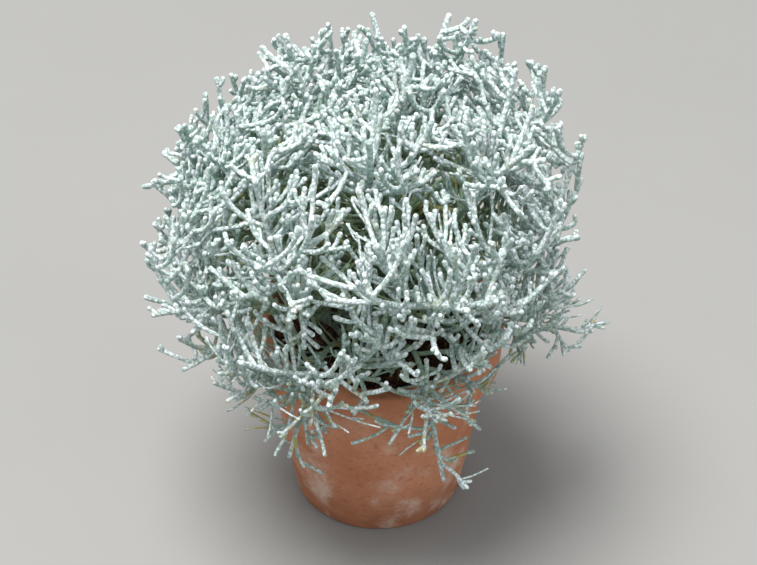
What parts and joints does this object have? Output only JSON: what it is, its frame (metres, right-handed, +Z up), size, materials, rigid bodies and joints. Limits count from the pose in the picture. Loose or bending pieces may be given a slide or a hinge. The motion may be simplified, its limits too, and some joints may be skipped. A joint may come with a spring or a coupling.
{
  "type": "potted cushion bush",
  "caption": "Rounded cushion of silver-white felted, coral-like twigs on arching stems, growing in soil in a plain tapered clay pot with a thick rim and a drain hole.",
  "frame": {"origin": "centre of the pot's foot, on the surface that the pot stands on, below the middle of the whole plant's spread", "axes": "+Z up along the pot's axis; -Y towards the front, where the two lowest sprigs hang over the rim; +X to the right, where the long level sprig reaches out"},
  "size_m": [0.2196, 0.2059, 0.2525],
  "materials": {
    "clay": "matte, fired earthenware, slightly gritty",
    "soil": "crumbly, matte",
    "felted_twig": "covered in short white felt, matte with a soft sheen"
  },
  "bodies": {
    "root": {"pot": "clay", "soil": "soil", "leafy_stem_01": "felted_twig", "leafy_stem_02": "felted_twig", "leafy_stem_03": "felted_twig", "leafy_stem_04": "felted_twig", "leafy_stem_05": "felted_twig", "leafy_stem_06": "felted_twig", "leafy_stem_07": "felted_twig", "leafy_stem_08": "felted_twig", "leafy_stem_09": "felted_twig", "leafy_stem_10": "felted_twig", "leafy_stem_11": "felted_twig", "leafy_stem_12": "felted_twig", "leafy_stem_13": "felted_twig", "leafy_stem_14": "felted_twig", "leafy_stem_15": "felted_twig", "leafy_stem_16": "felted_twig", "leafy_stem_17": "felted_twig", "leafy_stem_18": "felted_twig", "leafy_stem_19": "felted_twig", "leafy_stem_20": "felted_twig"}
  },
  "joints": []
}
